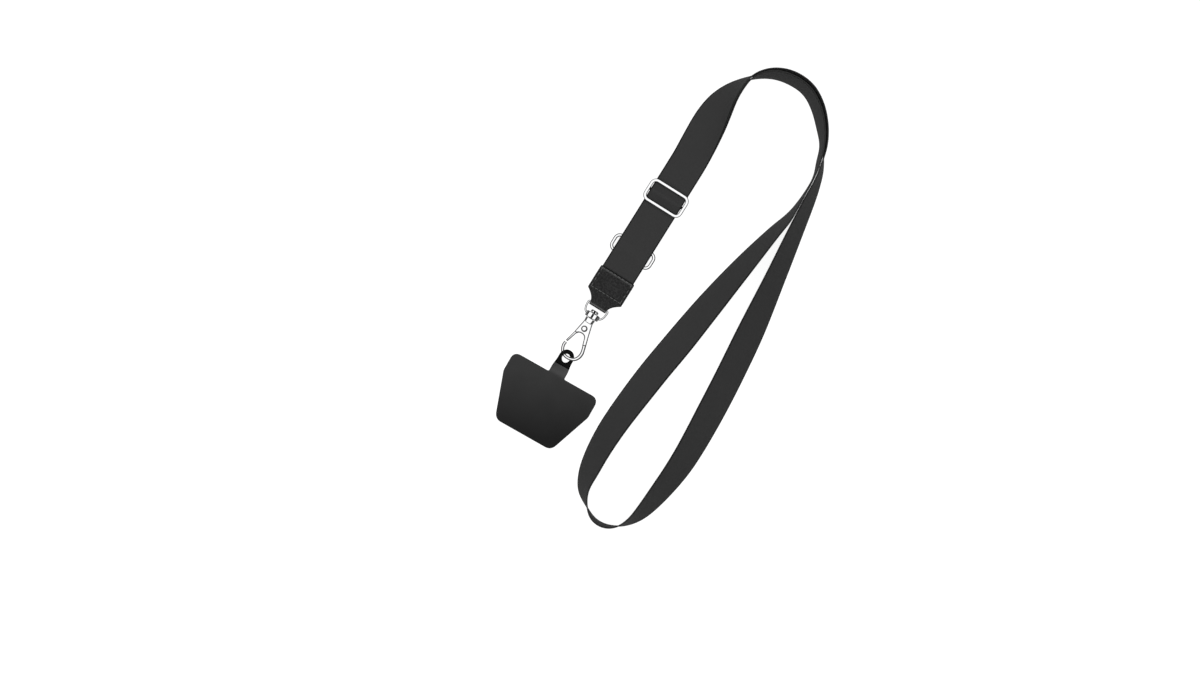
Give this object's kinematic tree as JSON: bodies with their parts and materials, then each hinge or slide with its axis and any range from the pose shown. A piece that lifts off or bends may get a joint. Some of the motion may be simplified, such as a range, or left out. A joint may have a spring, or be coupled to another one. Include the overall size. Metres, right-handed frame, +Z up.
{
  "type": "phone crossbody strap",
  "caption": "Long flat webbing loop with a wire slider and ring, a folded leather end, a swivel snap hook and a fabric tether patch that goes inside a phone case.",
  "frame": {"origin": "middle of the bottom of the whole strap's box, as it lies on a table", "axes": "+Y along the front strand, from the snap hook towards the slider; +X from the front strand towards the rest of the loop; +Z up from the table"},
  "size_m": [0.1474, 0.3372, 0.0255],
  "materials": {
    "webbing": "matt black woven webbing",
    "leather": "fine-grained black leather, satin",
    "chrome": "polished",
    "tether": "smooth black coated fabric, matt"
  },
  "bodies": {
    "strap_body": {"strap": "webbing", "slider": "chrome", "adjuster_ring": "chrome", "ring_keeper": "webbing", "leather_end": "leather"},
    "swivel": {"swivel_loop": "chrome"},
    "hook": {"hook_body": "chrome", "gate_rivet": "chrome", "tether_patch": "tether"},
    "gate": {"hook_gate": "chrome"}
  },
  "joints": [
    {"name": "loop_swing", "type": "hinge", "parent": "strap_body", "child": "swivel", "pos_m": [-0.04111, -0.04011, 0.00462], "axis": [1, 0, 0], "range_deg": [-70, 70]},
    {"name": "hook_turn", "type": "hinge", "parent": "swivel", "child": "hook", "pos_m": [-0.04111, -0.05031, 0.00462], "axis": [0, 1, 0], "continuous": true},
    {"name": "gate_open", "type": "hinge", "parent": "hook", "child": "gate", "pos_m": [-0.04111, -0.05853, 0.00462], "axis": [0, 0, 1], "range_deg": [0, 25], "stiffness_Nm_per_rad": 0.01, "springref_deg": -17.19}
  ]
}
